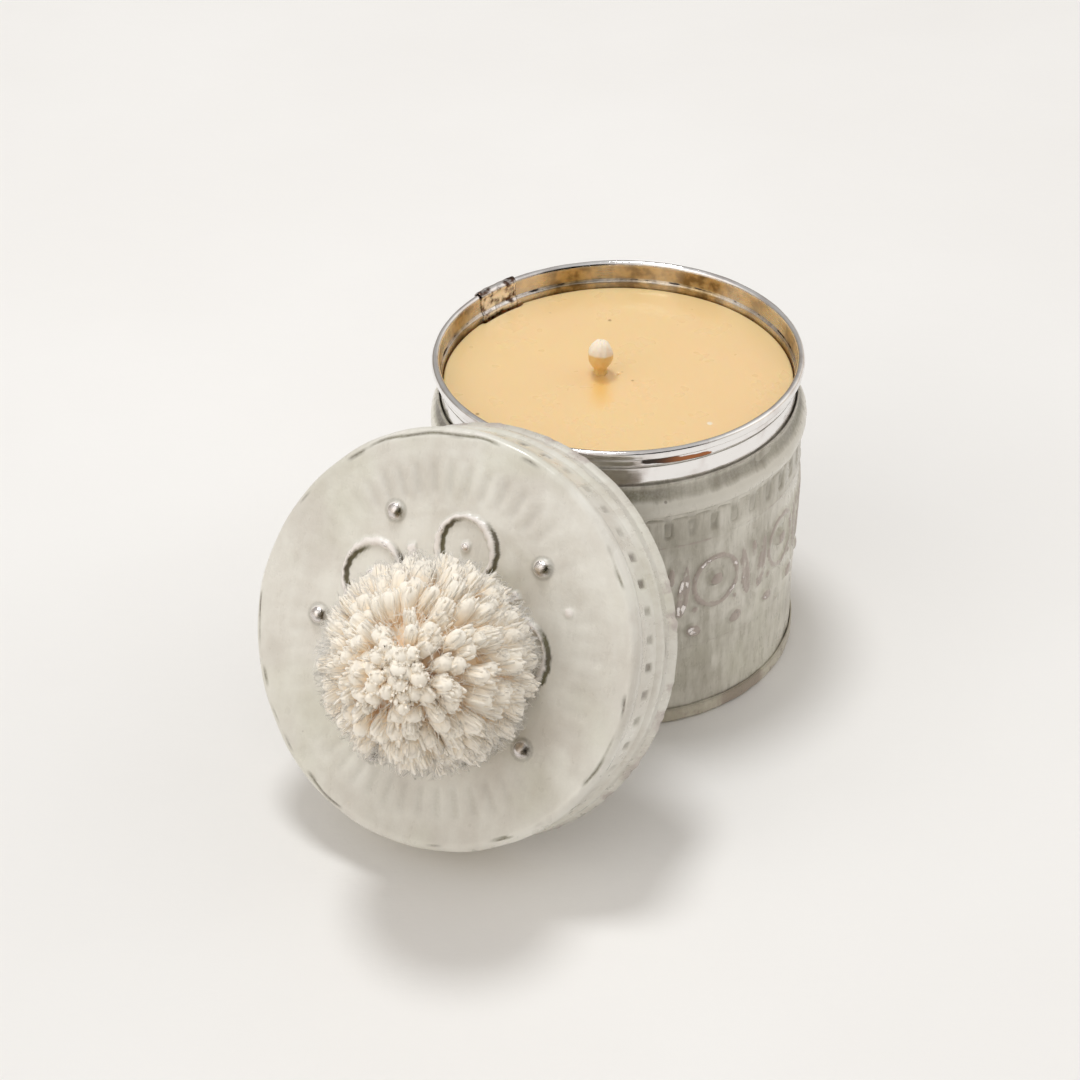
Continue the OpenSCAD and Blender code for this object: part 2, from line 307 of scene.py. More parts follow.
# ------------ materials
class Shade:
    """Nodes of a material or of the world. Most methods add a node and return its output."""

    def __init__(self, owner, shader="Principled BSDF", place="Object"):
        self.owner = owner
        owner.use_nodes = True
        self.nodes = owner.node_tree.nodes
        self.links = owner.node_tree.links
        self.shader = self.nodes[shader]
        self.place = self.nodes.new("ShaderNodeTexCoord").outputs[place]

    def set(self, node, socket, value):
        """Links a socket to another node's output, or sets its value."""
        if isinstance(value, bpy.types.NodeSocket):
            self.links.new(value, node.inputs[socket])
        elif value is not None:
            node.inputs[socket].default_value = value

    def assign(self, **values):
        """Sets the shader's sockets, and returns the material or world."""
        for key, value in values.items():
            self.set(self.shader, key.replace("_", " "), value)
        return self.owner

    def node(self, kind, output, **values):
        """Adds a node and sets its sockets, with underscores for the spaces in their names."""
        node = self.nodes.new("ShaderNode" + kind)
        for key, value in values.items():
            self.set(node, key.replace("_", " "), value)
        return node.outputs[output]

    def attribute(self, name, output="Fac"):
        """A field that the mesh carries."""
        field = self.node("Attribute", output)
        field.node.attribute_name = name
        return field

    def noise(self, scale, detail=3.0, rough=0.5, where=None, warp=0.0):
        """Noise whose features are about 1 / scale of the unit of where, which is metres by default."""
        where = self.place if where is None else where
        return self.node("TexNoise", "Fac", Vector=where, Scale=scale, Detail=detail, Roughness=rough,
                         Distortion=warp)

    def cells(self, scale):
        """Distance from the nearest of scattered points, as a part of their spacing of 1 / scale metres."""
        return self.node("TexVoronoi", "Distance", Vector=self.place, Scale=scale)

    def stretch(self, x, y, z):
        """Place with a scale of its own along each axis."""
        return self.node("Mapping", "Vector", Vector=self.place, Scale=(x, y, z))

    def bump(self, height, distance, strength=1.0, normal=None):
        """Relief of a height from 0 to 1, where 1 stands distance millimetres proud."""
        return self.node("Bump", "Normal", Height=height, Distance=distance * MM, Strength=strength,
                         Normal=normal)

    def along(self, direction):
        """1 where the place lies in a direction from the origin, and -1 where it is opposite."""
        node = self.nodes.new("ShaderNodeVectorMath")
        node.operation = "DOT_PRODUCT"
        self.set(node, 0, self.place)
        self.set(node, 1, Vector(direction).normalized())
        return node.outputs["Value"]

    def math(self, operation, a, b):
        node = self.nodes.new("ShaderNodeMath")
        node.operation = operation
        self.set(node, 0, a)
        self.set(node, 1, b)
        return node.outputs[0]

    def plus(self, a, b):
        return self.math("ADD", a, b)

    def times(self, a, b):
        return self.math("MULTIPLY", a, b)

    def swing(self, value, size):
        """A value from 0 to 1 as a swing of that size about 0."""
        return self.times(self.math("SUBTRACT", value, 0.5), size)

    def step(self, value, low, high, to_low=0.0, to_high=1.0):
        """Smooth step of a value between low and high."""
        result = self.node("MapRange", "Result", Value=value, From_Min=low, From_Max=high, To_Min=to_low,
                           To_Max=to_high)
        result.node.interpolation_type = "SMOOTHSTEP"
        return result

    def mix(self, amount, a, b):
        """Mix of two colours."""
        node = self.nodes.new("ShaderNodeMix")
        node.data_type = "RGBA"
        self.set(node, "Factor", amount)
        for socket, value in ((6, a), (7, b)):
            self.set(node, socket, (*value, 1.0) if isinstance(value, tuple) else value)
        return node.outputs[2]


def paint_material(name, light, dark, worn, streaks):
    """Thick glossy whitewash with brushed streaks. The wear field thins it to the worn colour and then to bare
    metal. One field lightens it as a painted highlight and darkens it a little as painted shade, and another
    covers it with dark brown or olive, as dirt and as painted shade and painted reflections."""
    olive = (0.56, 0.57, 0.40)
    rust_speck = (0.13, 0.09, 0.06)
    bare_dark, bare_light = (0.62, 0.57, 0.54), (0.88, 0.84, 0.82)
    shade_and_dirt_brown, shade_and_dirt_olive = (0.12, 0.10, 0.075), (0.14, 0.125, 0.065)
    s = Shade(bpy.data.materials.new(name))
    wear = s.attribute("wear")
    grime = s.attribute("grime")
    grain = s.attribute("grain", "Vector")
    brush = s.noise(1.0, 4.0, 0.6, grain)
    cloud = s.noise(110, 4.0, 0.55)
    lumps = s.noise(420, 3.0, 0.5)
    fine = s.noise(2600, 3.0, 0.6)
    tone = s.plus(s.times(brush, streaks), s.times(cloud, 1 - streaks))
    # painted highlight: lighter where the mesh's light field is high, and a little darker, as painted shade,
    # where it is below zero
    tone = s.plus(tone, s.times(s.attribute("painted_light"), 0.25))
    colour = s.mix(s.step(tone, 0.34, 0.66), dark, light)
    colour = s.mix(s.times(s.step(s.noise(60, 2.0), 0.5, 0.75), 0.25), colour, olive)
    chip = s.noise(900, 5.0, 0.65, warp=0.4)
    rubbed = s.plus(wear, s.swing(chip, 0.9))
    thin = s.step(rubbed, 0.28, 0.62)
    bare = s.step(rubbed, 0.84, 0.92)
    colour = s.mix(s.times(thin, 0.8), colour, worn)
    specks = s.times(s.step(s.cells(230), 0.09, 0.05), s.step(s.noise(240, 1.0), 0.56, 0.6))
    colour = s.mix(s.times(specks, 0.6), colour, rust_speck)
    colour = s.mix(bare, colour, s.mix(fine, bare_dark, bare_light))
    # painted shade and painted reflections, and dirt: dark brown or olive where the mesh's dark field is high
    shade_and_dirt = s.mix(s.step(cloud, 0.4, 0.6), shade_and_dirt_brown, shade_and_dirt_olive)
    colour = s.mix(s.times(grime, s.step(fine, 0.2, 0.7, 0.6, 1.0)), colour, shade_and_dirt)
    rough = s.step(s.plus(s.times(lumps, 0.5), s.times(brush, 0.5)), 0.3, 0.7, 0.22, 0.42)
    rough = s.plus(rough, s.times(grime, 0.25))
    rough = s.times(rough, s.math("SUBTRACT", 1.0, s.times(bare, 0.65)))
    body = s.bump(s.plus(s.times(lumps, 0.7), s.times(brush, 0.6)), 0.16)
    body = s.bump(fine, 0.012, 1.0, body)
    body = s.bump(s.times(chip, thin), 0.15, 1.0, body)
    body = s.bump(bare, 0.05, 1.0, s.bump(thin, -0.04, 1.0, body))
    return s.assign(Base_Color=colour, Metallic=s.times(bare, 0.95), Roughness=rough, Normal=body,
                    Coat_Weight=0.25, Coat_Roughness=0.12)


def bare_tin_material():
    """Polished tinplate with fine lines along the strip and soft stains. One field makes it golden brown, as
    tarnish and as a painted reflection of the wax. Another darkens it, as dirt and as painted shade and a
    painted reflection, and a third makes that darkening brown, as rust and as part of the painted reflection."""
    s = Shade(bpy.data.materials.new("polished_tinplate"))
    lines = s.noise(1.0, 5.0, 0.65, s.stretch(60, 60, 4200))
    stain = s.noise(170, 3.0, 0.6)
    tarnish_and_painted_reflection = s.attribute("tarnish_and_painted_reflection")
    colour = s.mix(s.step(stain, 0.45, 0.75), (0.90, 0.885, 0.875), (0.74, 0.69, 0.67))
    tarnish_and_reflection_gold = s.mix(s.step(s.noise(500, 4.0), 0.35, 0.65), (0.22, 0.145, 0.065), (0.50, 0.36, 0.18))
    # painted reflection of the wax, and tarnish: golden brown where the field is high
    colour = s.mix(tarnish_and_painted_reflection, colour, tarnish_and_reflection_gold)
    # painted shade and the painted reflection of the lid's inside, and dirt on the lap: near black or brown
    dirt_shade_and_reflection = s.plus(s.attribute("dirt_shade_and_reflection"), s.swing(s.noise(700, 4.0), 0.8))
    dirt_shade_and_reflection = s.times(s.step(dirt_shade_and_reflection, 0.4, 0.6), s.step(s.attribute("dirt_shade_and_reflection"), 0.0, 0.2))
    colour = s.mix(dirt_shade_and_reflection, colour, s.mix(s.attribute("rust_and_reflection_brown"), (0.05, 0.04, 0.035), (0.36, 0.14, 0.06)))
    rough = s.plus(s.step(lines, 0.35, 0.75, 0.06, 0.2), s.times(tarnish_and_painted_reflection, 0.3))
    normal = s.bump(lines, 0.02, 1.0, s.bump(s.noise(240, 2.0), 0.12))
    normal = s.bump(s.times(s.noise(1500, 3.0), tarnish_and_painted_reflection), 0.12, 1.0, normal)
    return s.assign(Base_Color=colour, Metallic=1.0, Roughness=rough, Normal=normal)


def wax_material():
    """Honey-coloured wax: soft light inside it, a smooth gloss, and a few dark and pale specks."""
    s = Shade(bpy.data.materials.new("honey_wax"))
    warm = s.noise(45, 2.0, 0.5)
    colour = s.mix(s.step(warm, 0.3, 0.75), (0.88, 0.63, 0.31), (0.89, 0.62, 0.315))
    dark = s.times(s.step(s.cells(150), 0.07, 0.035), s.step(s.noise(160, 1.0), 0.54, 0.58))
    pale = s.times(s.step(s.cells(118), 0.075, 0.04), s.step(s.noise(95, 1.0), 0.55, 0.6))
    colour = s.mix(s.times(dark, 0.8), colour, (0.38, 0.20, 0.06))
    colour = s.mix(s.times(pale, 0.8), colour, (0.95, 0.88, 0.76))
    # painted reflection and shadow of the wick: amber where the field is high, and darker at the wick's foot
    colour = s.mix(s.times(s.attribute("soak_and_painted_shadow"), 0.75), colour, (0.80, 0.48, 0.13))
    normal = s.bump(s.noise(500, 2.0), 0.002)
    rough = s.step(s.noise(200, 2.0), 0.3, 0.7, 0.27, 0.31)
    return s.assign(Base_Color=colour, Roughness=rough, Normal=normal,
                    Subsurface_Weight=0.35, Subsurface_Scale=0.004, Subsurface_Radius=(1.0, 0.6, 0.25),
                    Coat_Weight=0.6, Coat_Roughness=0.2, Coat_IOR=1.6)


def wick_material():
    """Cotton dipped in wax: a dry cream top over an amber half, where the wax has soaked in."""
    s = Shade(bpy.data.materials.new("dipped_cotton"))
    soak_and_painted_shadow = s.attribute("soak_and_painted_shadow")
    edge = s.plus(soak_and_painted_shadow, s.swing(s.noise(700, 3.0), 0.35))
    dry = s.mix(s.noise(1500, 3.0), (0.91, 0.78, 0.61), (0.95, 0.85, 0.71))
    colour = s.mix(s.step(edge, 0.30, 0.70), dry, s.mix(s.noise(500), (0.90, 0.64, 0.28), (0.84, 0.54, 0.18)))
    normal = s.bump(s.noise(2400, 3.0), 0.05, 0.8, s.bump(s.cells(900), 0.08, 0.6))
    return s.assign(Base_Color=colour, Roughness=s.step(soak_and_painted_shadow, 0.3, 0.7, 0.75, 0.35), Normal=normal,
                    Subsurface_Weight=0.3, Subsurface_Scale=0.0015, Subsurface_Radius=(1.0, 0.6, 0.3))


def wool_material():
    """Cut wool: cream at the ends, and warmer and darker down between the tufts as painted shade of the
    creases, with a tone of its own for each tuft.
    """
    s = Shade(bpy.data.materials.new("cream_wool"))
    depth = s.attribute("depth")
    shade = s.attribute("shade")
    value = s.plus(depth, s.swing(s.noise(160, 3.0), 0.25))
    # painted shade: warmer and darker where the depth field is low, down between the tufts
    colour = s.mix(s.step(value, 0.55, 1.0), (1.0, 0.81, 0.56), (1.0, 0.94, 0.83))
    colour = s.mix(s.times(shade, 0.4), colour, (1.0, 0.905, 0.77))
    normal = s.bump(s.noise(1800, 4.0, 0.7), 0.03, 0.8)
    return s.assign(Base_Color=colour, Roughness=s.step(s.noise(400), 0.3, 0.7, 0.8, 1.0), Normal=normal,
                    Sheen_Weight=0.6, Sheen_Roughness=0.6, Specular_IOR_Level=0.1)


def steel_material():
    """Plain pressed steel of the wick tab."""
    s = Shade(bpy.data.materials.new("pressed_steel"))
    fine = s.noise(1800, 3.0)
    return s.assign(Base_Color=s.mix(fine, (0.48, 0.48, 0.48), (0.62, 0.61, 0.60)), Metallic=1.0,
                    Roughness=s.step(fine, 0.3, 0.7, 0.28, 0.45), Normal=s.bump(fine, 0.01))


def foam_material():
    """Adhesive foam disc under the wick tab."""
    s = Shade(bpy.data.materials.new("adhesive_foam"))
    pores = s.cells(2200)
    return s.assign(Base_Color=s.mix(pores, (0.80, 0.79, 0.74), (0.90, 0.89, 0.85)), Roughness=0.9,
                    Normal=s.bump(pores, 0.05))


def floor_material():
    """Pale board with faint brushed paint."""
    s = Shade(bpy.data.materials.new("pale_board"))
    soft = s.noise(9, 3.0)
    strokes = s.noise(1.0, 4.0, 0.6, s.stretch(60, 500, 60))
    colour = s.mix(s.step(soft, 0.35, 0.7), (0.86, 0.845, 0.825), (0.88, 0.868, 0.85))
    return s.assign(Base_Color=colour, Roughness=s.step(strokes, 0.3, 0.7, 0.6, 0.75), Specular_IOR_Level=0.3,
                    Normal=s.bump(strokes, 0.05, 0.5, s.bump(s.noise(350, 3.0), 0.10, 0.6)))


def upright_grain(angle, z, across=22, along=0.16):
    """Coordinates in which noise makes upright brush strokes around a turned piece."""
    return np.stack([across * np.cos(angle), across * np.sin(angle), z * along + 0 * angle], -1)


# ------------ the pot
def leaf(x, z, foot, tip, half):
    """Distance inside the edge of a pointed leaf, in millimetres, and how far across it a point lies."""
    along = np.array(tip, float) - foot
    length = np.linalg.norm(along)
    along /= length
    t = ((x - foot[0]) * along[0] + (z - foot[1]) * along[1]) / length
    across = (x - foot[0]) * along[1] - (z - foot[1]) * along[0]
    width = half * 2.6 * np.sqrt(np.clip(t, 0, 1)) * np.clip(1 - t, 0, 1)
    return width - np.abs(across), across


def frieze(angle, z):
    """Flowers with their leaves, buds and dots, between two border lines: their height and their wear."""
    x = repeat(angle, MOTIFS, MOTIF_SHIFT, BODY_TOP_R)
    side = np.abs(x)
    boss = dome(x, z - BOSS_Z, 1.5, 0.75)
    moat = -ridge(np.hypot(x, z - BOSS_Z) - 2.0, 0.6, 0.2)
    ring = ridge((np.hypot(x / 4.3, (z - 29) / 5.0) - 1) * 4.6, 0.8, 0.45)
    inside, across = leaf(side, z, (7.0, 22.6), (5.3, 35.8), 1.5)
    blade = 0.45 * smooth(0, 0.7, inside) - ridge(across, 0.3, 0.18) * smooth(0.2, 0.7, inside)
    bud = dome(8.38 - side, (z - 31.8) * 0.35, 0.75, 0.4)
    dot_x, dot_z = turned(side - 4.25, z - DOT_Z, 28)
    dots = dome(dot_x * 0.78, dot_z, 1.35, 0.6)
    seeds = dome(side - 4.0, z - 23.9, 0.8, 0.35)
    comma_x, comma_z = turned(side - 8.0, z - 20.6, 22)
    commas = dome(comma_x, comma_z * 0.4, 0.75, 0.3)
    borders = ridge(z - BORDER_HIGH_Z, 0.45, 0.16) + ridge(z - BORDER_LOW_Z, 0.45, 0.14)
    height = np.maximum.reduce([boss, ring, blade, bud, dots, seeds, commas]) + moat + borders
    wear = np.maximum.reduce([
        0.80 * smooth(0.25, 0.6, boss), 0.74 * smooth(0.12, 0.36, ring), 0.74 * smooth(0.1, 0.36, blade),
        0.68 * smooth(0.1, 0.3, bud), 0.78 * smooth(0.15, 0.5, dots), 0.64 * smooth(0.1, 0.3, seeds),
        0.45 * smooth(0.05, 0.15, borders)])
    return height, wear


def body_relief(angle, r, z):
    """Outside of the pot: the frieze, a row of dents over it, the groove under the bead, and the fields."""
    outside = smooth(BODY_BASE_R - 0.25, BODY_BASE_R - 0.1, r) + 0 * z
    outside = np.where(z > BEAD_MID_Z, smooth(COLLAR_IN_R + 0.3, COLLAR_IN_R + 0.43, r), outside)
    height, crest = frieze(angle, z)
    even = 0.85 + waves(angle, 0 * z, 7, (5, 9, 14), 0.3)
    dent = plateau(repeat(angle, DENTS, 0, BODY_TOP_R), 0.4, 0.6) * plateau(z - DENT_Z, 1.2, 0.8) * even
    uneven = waves(angle, z, 3, (3, 5, 8, 13), 0.07) + waves(angle, z, 5, (21, 34, 47, 60), 0.03)
    height -= ridge(z - BEAD_LOW_Z, 0.6, 0.22)
    height = (height - 0.38 * dent + uneven) * outside
    patchy = 0.95 + waves(angle, z * 6, 11, (4, 9, 15, 23), 0.25)
    foot_wear = 0.5 * smooth(3.6, 1.0, z)
    lip = plateau(z - COLLAR_LINE_Z - 0.4, 0.3, 0.3)
    # painted shade: the cove under the collar line, the groove under the bead and the dents are painted dark
    # olive and brown
    cove = 0.75 * plateau(z - COVE_Z, 0.5, 1.0) + 0.6 * plateau(z - BEAD_LOW_Z, 0.2, 0.5)
    fields = {"wear": (crest * patchy + foot_wear + 0.35 * lip) * outside,
              "grime": (0.50 * dent + cove * (0.8 + waves(angle, z, 8, (2, 5, 9), 0.3))) * outside,
              # painted highlight on the crest of the shoulder bead, and painted shade along the row of dents
              "painted_light": plateau(z - BEAD_MID_Z - 0.3, 0.7, 0.8) - 0.2 * plateau(z - DENT_Z, 2.0, 1.0),
              "grain": upright_grain(angle, z)}
    return height, fields


def body_outline():
    """Outside of the body from its foot to the collar line: wall, shoulder bead and cove."""
    foot_z = SHEET_T + FIT_GAP
    low = line((BODY_BASE_R, foot_z), (BODY_BASE_R + 0.13, 15), 0.9)
    high = line((BODY_BASE_R + 0.13, 15), (BODY_TOP_R, BEAD_LOW_Z), 0.3)
    bead_half = BEAD_MID_Z - BEAD_LOW_Z
    t = np.radians(np.linspace(-90, 90, 19))[:-1]
    bead = np.stack([BODY_TOP_R + BEAD_H * np.cos(t) ** 2, BEAD_MID_Z + bead_half * np.sin(t)], 1)
    edge_r = COLLAR_IN_R + FIT_GAP + SHEET_T
    t = np.linspace(0, 1, 12)
    cove = np.stack([edge_r + (BODY_TOP_R - edge_r) * (1 - t) ** 2 + 0.2 * smooth(0.75, 1, t),
                     BEAD_MID_Z + bead_half + (COLLAR_LINE_Z + 0.35 - BEAD_MID_Z - bead_half) * t], 1)
    return np.concatenate([low, high, bead, cove])


def make_body():
    """Rolled, embossed and painted sheet around the pot."""
    paint = paint_material("pot_paint", *POT_PAINT, streaks=0.45)
    skin = thicken(body_outline(), SHEET_T, 12)
    body = revolve("body_shell_embossed", paint, skin, POT_STEPS, body_relief)
    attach(body, "pot")
    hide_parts("body_shell")


def pan_relief(angle, r, z):
    """The base pan's flange isn't quite even, and its edge is worn."""
    edge = smooth(BODY_BASE_R - 2, BODY_BASE_R - 0.5, r)
    uneven = (waves(angle, z, 21, (2, 5, 9), 0.04) + waves(angle, z, 22, (17, 29, 41), 0.03)) * edge
    stain = smooth(0.35, 1.0, waves(angle, 0 * z, 23, (3, 7, 11), 0.9))
    lip = plateau(z - FLANGE_H, 0.25, 0.4)
    return uneven - 0.03, {"wear": edge * (0.35 + 0.4 * stain), "grime": edge * (0.35 * lip + 0.3 * stain),
                           "grain": upright_grain(angle, z)}


def make_base_pan():
    """Disc under the pot, with its edge turned up around the foot of the body."""
    out_r = BODY_BASE_R + FIT_GAP + SHEET_T
    round_r = 0.7
    lip_r = SHEET_T / 2
    outline = np.concatenate([
        line((0.3, 0), (out_r - round_r, 0), 2.0), arc(out_r - round_r, round_r, round_r, -90, 0, 5),
        line((out_r, 0.8), (out_r, FLANGE_H - 0.15), 0.35),
        arc(out_r - lip_r, FLANGE_H - lip_r, lip_r, 0, 180, 6),
        line((out_r - SHEET_T, FLANGE_H - 0.3), (out_r - SHEET_T, SHEET_T), 0.8),
        line((out_r - SHEET_T, SHEET_T), (0.3, SHEET_T), 4.0), [[0.3, SHEET_T]]])
    paint = paint_material("pan_paint", *PAN_PAINT, streaks=0.4)
    pan = revolve("base_pan_pressed", paint, outline, 360, pan_relief)
    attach(pan, "pot")
    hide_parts("base_pan")


def collar_relief(angle, r, z):
    """Slight waves of the hand-worked strip. Inside it is tarnished, and painted golden brown as a reflection
    of the wax. It is darker under the hem, as painted shade, and at the step, and has one dark streak on its
    front, a painted reflection of the lid's inside."""
    uneven = waves(angle, z, 31, (2, 3, 5), 0.05) + waves(angle, z, 32, (11, 19, 31), 0.018)
    low = smooth(LEDGE_Z + 0.5, LEDGE_Z - 0.5, z)
    proud = r - COLLAR_IN_R
    front = smooth(0.2, 0.35, proud)
    outside = smooth(-0.05, -0.01, proud) * smooth(RIM_R + 0.1, RIM_R, r)
    upper = smooth(0.3, 0.05, proud) * smooth(TIN_H - 0.4, TIN_H - 0.8, z)
    inside = np.where(z > LEDGE_Z, upper, smooth(-0.1, -0.3, proud))
    broken = 0.6 + waves(angle, z * 5, 33, (7, 16, 29, 44), 0.3)
    # painted shade under the hem, and a dark line at the step
    under_hem = ridge(z - (TIN_H - HEM_H - 0.1), 0.35, 1) * front
    seam = ridge(z - LEDGE_Z, 0.3, 0.7) * smooth(0.2, 0.05, proud)
    # painted reflection of the lid's dark inside: a streak on the collar's front, brown towards its right end
    along = (np.degrees(angle) + 180) % 360 - 180
    beside = along - REFLECTION_STREAK_ANGLE
    streak = plateau(beside, 9, 5) * plateau(z - REFLECTION_STREAK_Z + 0.035 * beside, 0.25, 0.5) * front
    # painted reflection of the wax on the inner wall, and tarnish
    fields = {"tarnish_and_painted_reflection": (0.75 + waves(angle, z, 34, (3, 8, 15), 0.3)) * inside,
              "dirt_shade_and_reflection": np.clip((under_hem + seam) * broken, 0, 1) + streak * 0.9,
              "rust_and_reflection_brown": smooth(-8, 4, beside) * np.minimum(streak * 3, 1)}
    groove = sum(ridge(z - groove_z, 0.25, 0.05) for groove_z in GROOVE_ZS)
    return uneven * (1 - 0.6 * low) - groove * outside, fields


def make_collar():
    """Strip with a step, a rolled hem, and the lap where its ends overlap, whose hem is an open roll."""
    low_r = COLLAR_IN_R - SHEET_T
    hem_r = HEM_T / 2
    hem_x = RIM_R - hem_r
    step_r = COLLAR_IN_R + SHEET_T
    outline = np.concatenate([
        line((low_r, COLLAR_FOOT_Z), (COLLAR_IN_R, COLLAR_FOOT_Z), 0.2),
        line((COLLAR_IN_R, COLLAR_FOOT_Z), (COLLAR_IN_R, LEDGE_Z - 0.5), 0.7),
        arc(COLLAR_IN_R + 0.5, LEDGE_Z - 0.5, 0.5, 180, 120, 4),
        arc(step_r - 0.4, LEDGE_Z + 0.5, 0.4, -50, 0, 4),
        line((step_r, LEDGE_Z + 0.6), (step_r, TIN_H - HEM_H - 0.2), 0.3),
        arc(hem_x, TIN_H - HEM_H + hem_r, hem_r, -120, 0, 8),
        arc(hem_x, TIN_H - hem_r, hem_r, 0, 180, 14),
        line((COLLAR_IN_R, TIN_H - hem_r - 0.1), (COLLAR_IN_R, LEDGE_Z + 0.3), 0.4),
        arc(COLLAR_IN_R - 0.3, LEDGE_Z + 0.3, 0.3, 0, -60, 4),
        arc(low_r + 0.35, LEDGE_Z - 0.55, 0.35, 120, 180, 4),
        line((low_r, LEDGE_Z - 0.7), (low_r, COLLAR_FOOT_Z), 1.0)])
    tin = bare_tin_material()
    collar = revolve("neck_collar_polished", tin, outline, 480, collar_relief)
    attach(collar, "pot")
    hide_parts("neck_collar")
    make_lap(tin, low_r, hem_x)


def lap_relief(angle, r, z):
    """The lap is uneven and mottled, from solder and handling."""
    rough = waves(angle * 4, z * 4, 41, (9, 17, 30), 0.03) + waves(angle, z, 42, (25, 43), 0.04)
    return rough, {"tarnish_and_painted_reflection": 0.1 + 0 * angle, "dirt_shade_and_reflection": 0.47 + 0 * angle, "rust_and_reflection_brown": 0.15 + 0 * angle}


def make_lap(tin, low_r, hem_x):
    """The end of the strip that overlaps inside the collar, and curls over its hem."""
    inner_r = low_r - 0.1
    hem_z = TIN_H - HEM_T / 2
    path = np.concatenate([
        line((inner_r, 50.0), (inner_r, LEDGE_Z - 0.5), 0.5),
        line((inner_r, LEDGE_Z - 0.5), (COLLAR_IN_R - 0.1, LEDGE_Z + 0.1), 0.2),
        line((COLLAR_IN_R - 0.1, LEDGE_Z + 0.1), (COLLAR_IN_R - 0.1, hem_z - 0.2), 0.3),
        arc(hem_x, hem_z, LAP_HEM_R, 180, -110, 22)])
    skin = thicken(path[::-1], 0.2, 1)
    lap = revolve("collar_lap", tin, skin, 40, lap_relief, span=(LAP_START, LAP_END))
    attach(lap, "pot")


def wax_relief(angle, r, z):
    """The poured surface: nearly flat, drawn up and darker at the wick, and cut back behind the lap. An amber
    streak in front of the wick is a painted reflection and shadow of it.
    """
    top = smooth(WAX_Z - 0.6, WAX_Z - 0.2, z)
    x, y = r * np.cos(angle) - WICK[0], r * np.sin(angle) - WICK[1]
    mound = 0.9 * np.exp(-(x * x + y * y) / 3.2)
    uneven = 0.05 * np.sin(x * 0.23 + 1.0) * np.cos(y * 0.19)
    lap_half = (LAP_END - LAP_START) / 2 + 0.65
    lap = plateau(angle - math.radians((LAP_START + LAP_END) / 2), math.radians(lap_half), 0.02)
    side = smooth(WAX_R - 0.9, WAX_R - 0.05, r) * smooth(45.0, 46.0, z)
    # painted reflection and shadow of the wick: an amber streak in front of it
    streak = np.exp(-(x / 1.6) ** 2) * smooth(-13.5, -3.0, y) * smooth(1.0, -0.5, y)
    ring = 0.5 * np.exp(-(x * x + y * y) / 5.0)
    return (mound + uneven) * top - 0.55 * lap * side, {"soak_and_painted_shadow": np.maximum(streak, ring) * top}


def make_wax():
    """Poured candle: full width in the body and narrower in the collar, like its CAD solid."""
    low_z = SHEET_T + FIT_GAP
    step_z = COLLAR_FOOT_Z - LOOSE_GAP
    wide_r = BODY_BASE_R - SHEET_T - LOOSE_GAP
    round_r = 0.35
    outline = np.concatenate([
        line((0.3, low_z), (wide_r, low_z), 4.0), line((wide_r, low_z), (wide_r, step_z), 5.0),
        line((wide_r, step_z), (WAX_R, step_z), 0.5), line((WAX_R, step_z), (WAX_R, WAX_Z - round_r), 0.8),
        arc(WAX_R - round_r, WAX_Z - round_r, round_r, 0, 90, 5),
        line((WAX_R - 0.5, WAX_Z), (0.3, WAX_Z), 0.4), [[0.3, WAX_Z]]])
    wax = revolve("wax_candle", wax_material(), outline, 300, wax_relief)
    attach(wax, "pot")
    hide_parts("wax_fill")


def wick_relief(angle, r, z):
    """Braid on the stem, soft facets on the dipped tip, and how far the wax has soaked up."""
    tip = smooth(WICK_TOP_Z - TIP_H, WICK_TOP_Z - TIP_H + 1.2, z)
    braid = 0.16 * np.abs(np.sin(3 * angle + z * 2.2)) + 0.16 * np.abs(np.sin(3 * angle - z * 2.2)) - 0.2
    facets = 0.06 * np.cos(5 * angle + z) + 0.03 * np.cos(9 * angle - 2 * z)
    slant = 0.35 * np.cos(angle + 2.2)
    return (braid * (1 - tip) + facets * tip) * smooth(0, 0.6, r), {
        "soak_and_painted_shadow": smooth(WICK_TOP_Z - 1.6 + slant, WICK_TOP_Z - 3.4 + slant, z)}


def make_wick():
    """Braided wick, from the tab to its wax-dipped tip."""
    tab_z = SHEET_T + 0.6
    mid_z = WICK_TOP_Z - TIP_H / 2
    tip = arc(0, 0, 1, -60, 88, 24) * [TIP_R, TIP_H / 2] + [0, mid_z]
    outline = np.concatenate([
        [[0.05, tab_z]], line((WICK_R, tab_z), (WICK_R, tip[0, 1] - 0.4), 0.4), tip])
    place = Matrix.Translation((WICK[0] * MM, WICK[1] * MM, 0))
    wick = revolve("wick_braided", wick_material(), outline, 72, wick_relief, closed=False, place=place)
    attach(wick, "pot")
    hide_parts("wick")


# ------------ the lid
def press(relief, **marks):
    """Adds marks to a relief. Each field keeps the higher value at each point."""
    for field, value in marks.items():
        relief[field] = np.maximum(relief[field], value)


def press_bosses(relief, x, y):
    """Domed bosses, rubbed bare, with painted shade in the groove around them and a painted dark reflection
    down their right side.
    """
    for degrees in LID_BOSS_ANGLES:
        a = math.radians(degrees)
        dx, dy = x - LID_BOSS_RING_R * math.cos(a), y - LID_BOSS_RING_R * math.sin(a)
        far = np.hypot(dx, dy)
        # painted reflection: a dark patch down the right side of each boss
        painted_reflection_mask = smooth(0.2, 0.5, dx - 0.35 * dy) * smooth(1.5, 1.3, far)
        painted_reflection_mask *= smooth(-0.9, -0.4, dy) * smooth(1.1, 0.7, dy)
        press(relief, height=dome(dx, dy, 1.5, 1.12), wear=1.1 * smooth(1.55, 1.1, far),
              grime=np.maximum(0.35 * ridge(far - 1.75, 0.35, 1), 1.1 * painted_reflection_mask))


